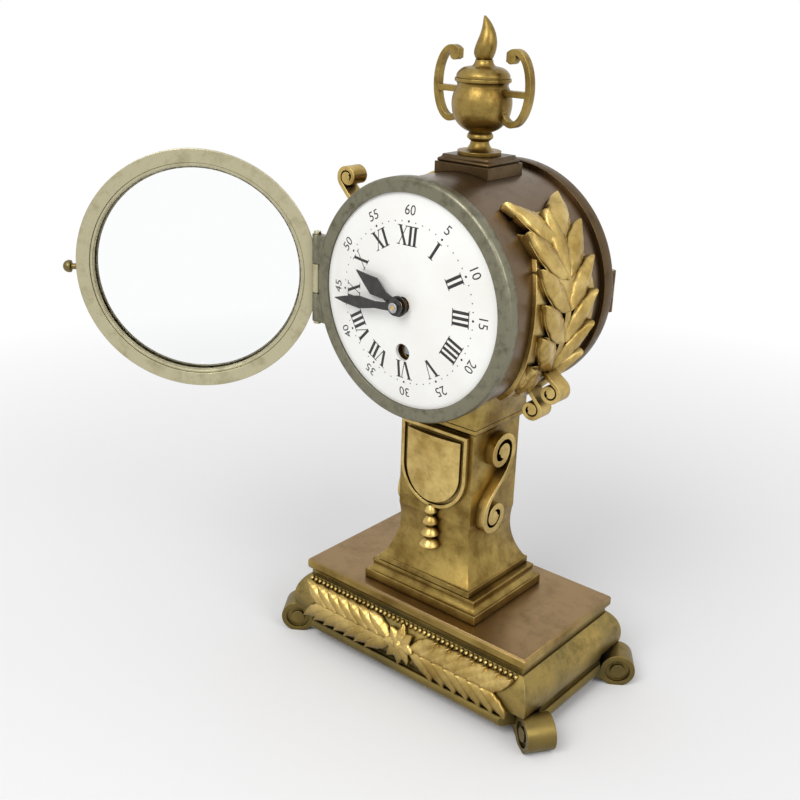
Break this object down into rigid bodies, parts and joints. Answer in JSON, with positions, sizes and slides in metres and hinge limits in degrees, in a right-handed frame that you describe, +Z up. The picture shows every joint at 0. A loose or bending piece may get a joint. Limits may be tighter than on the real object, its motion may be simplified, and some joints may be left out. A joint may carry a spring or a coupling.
{
  "type": "desk clock",
  "caption": "Gilt brass mantel clock: drum case on a column and footed plinth, urn finial, enamel dial, opening glazed bezel, back door and wound lever movement.",
  "frame": {"origin": "on the table, under the middle of the base", "axes": "+X to the right seen from the front, -Y out of the dial, +Z up"},
  "size_m": [0.2235, 0.1512, 0.2915],
  "materials": {
    "gilt": "worn fire gilding on cast and chased brass",
    "base_brass": "polished, aged to a warm brown",
    "dark_brass": "dark patina",
    "bezel_brass": "satin, slightly green with age",
    "movement_brass": "lacquered and lightly grained",
    "steel": "fine ground",
    "enamel": "glossy white enamel",
    "hand_black": "satin black",
    "clear_glass": "clear, polished"
  },
  "bodies": {
    "case": {"base_frame": "gilt", "base_plate": "base_brass", "base_front_frieze": "gilt", "foot_front_left": "gilt", "foot_front_right": "gilt", "foot_rear_left": "gilt", "foot_rear_right": "gilt", "foot_screws": "steel", "column_plinth": "gilt", "column": "gilt", "column_front_panel": "gilt", "column_left_mount": "gilt", "column_right_mount": "gilt", "drum_cradle": "gilt", "tie_rod": "steel", "case_nuts": "steel", "drum_shell": "base_brass", "front_ring": "dark_brass", "rear_ring": "base_brass", "left_flank_mount": "gilt", "right_flank_mount": "gilt", "urn_socle": "base_brass", "urn_body": "gilt", "urn_handles": "gilt", "urn_lid": "gilt", "flame_finial": "gilt", "urn_stud": "steel", "bezel_hinge_pin": "bezel_brass", "door_hinge_pin": "bezel_brass", "dial": "enamel", "dial_plate": "movement_brass", "front_plate": "movement_brass", "back_plate": "movement_brass", "plate_pillars": "movement_brass", "pillar_nuts": "steel", "case_bolts": "steel", "escapement_platform": "movement_brass", "escape_bridge": "movement_brass", "balance_cock": "movement_brass"},
    "bezel": {"bezel_ring": "bezel_brass", "bezel_glass": "clear_glass", "glass_retainer": "bezel_brass", "bezel_knob": "bezel_brass"},
    "door": {"back_door": "base_brass"},
    "centre": {"centre_arbor": "movement_brass", "cannon_pinion": "steel", "minute_hand": "hand_black"},
    "hour": {"hour_wheel": "movement_brass", "hour_hand": "hand_black"},
    "motion": {"minute_wheel": "movement_brass"},
    "barrel": {"spring_barrel": "movement_brass", "mainspring": "steel"},
    "winding": {"winding_arbor": "steel"},
    "click": {"click": "steel"},
    "third": {"third_wheel": "movement_brass"},
    "fourth": {"fourth_wheel": "movement_brass"},
    "escape": {"escape_wheel": "movement_brass"},
    "lever": {"pallet_lever": "steel"},
    "balance": {"balance_wheel": "movement_brass", "hairspring": "steel"}
  },
  "joints": [
    {"name": "bezel_hinge", "type": "hinge", "parent": "case", "child": "bezel", "pos_m": [-0.0525, -0.0404, 0.1834], "axis": [0, 0, -1], "range_deg": [-141, 20]},
    {"name": "door_hinge", "type": "hinge", "parent": "case", "child": "door", "pos_m": [0.0475, 0.0336, 0.1834], "axis": [0, 0, -1], "range_deg": [0, 110]},
    {"name": "minute_hand_turn", "type": "hinge", "parent": "case", "child": "centre", "pos_m": [0, 0, 0.1834], "axis": [0, 1, 0], "continuous": true},
    {"name": "hour_hand_turn", "type": "hinge", "parent": "case", "child": "hour", "pos_m": [0, 0, 0.1834], "axis": [0, 1, 0], "continuous": true},
    {"name": "minute_wheel_turn", "type": "hinge", "parent": "case", "child": "motion", "pos_m": [-0.00849, 0, 0.19189], "axis": [0, 1, 0], "continuous": true},
    {"name": "barrel_turn", "type": "hinge", "parent": "case", "child": "barrel", "pos_m": [0, 0, 0.1634], "axis": [0, 1, 0], "continuous": true},
    {"name": "third_wheel_turn", "type": "hinge", "parent": "case", "child": "third", "pos_m": [0.00955, 0, 0.19295], "axis": [0, 1, 0], "continuous": true},
    {"name": "fourth_wheel_turn", "type": "hinge", "parent": "case", "child": "fourth", "pos_m": [-0.00002, 0, 0.20002], "axis": [0, 1, 0], "continuous": true},
    {"name": "escape_wheel_turn", "type": "hinge", "parent": "case", "child": "escape", "pos_m": [-0.00955, 0, 0.20552], "axis": [0, 1, 0], "continuous": true},
    {"name": "winding_turn", "type": "hinge", "parent": "case", "child": "winding", "pos_m": [0, 0, 0.1634], "axis": [0, 1, 0], "range_deg": [0, 1440]},
    {"name": "click_pivot", "type": "hinge", "parent": "case", "child": "click", "pos_m": [0.00919, 0, 0.17111], "axis": [0, 1, 0], "range_deg": [0, 12]},
    {"name": "lever_pivot", "type": "hinge", "parent": "case", "child": "lever", "pos_m": [-0.00588, 0, 0.20419], "axis": [0, 1, 0], "range_deg": [-6, 6]},
    {"name": "balance_swing", "type": "hinge", "parent": "case", "child": "balance", "pos_m": [-0.00156, 0, 0.20262], "axis": [0, 1, 0], "range_deg": [-220, 220], "stiffness_Nm_per_rad": 0.000012}
  ],
  "couplings": [
    {"joint": "hour_hand_turn", "follows": "minute_hand_turn", "ratio": 0.083333},
    {"joint": "minute_wheel_turn", "follows": "minute_hand_turn", "ratio": -0.33333},
    {"joint": "barrel_turn", "follows": "minute_hand_turn", "ratio": -0.14286},
    {"joint": "third_wheel_turn", "follows": "minute_hand_turn", "ratio": -8},
    {"joint": "fourth_wheel_turn", "follows": "minute_hand_turn", "ratio": 60},
    {"joint": "escape_wheel_turn", "follows": "minute_hand_turn", "ratio": -600}
  ]
}
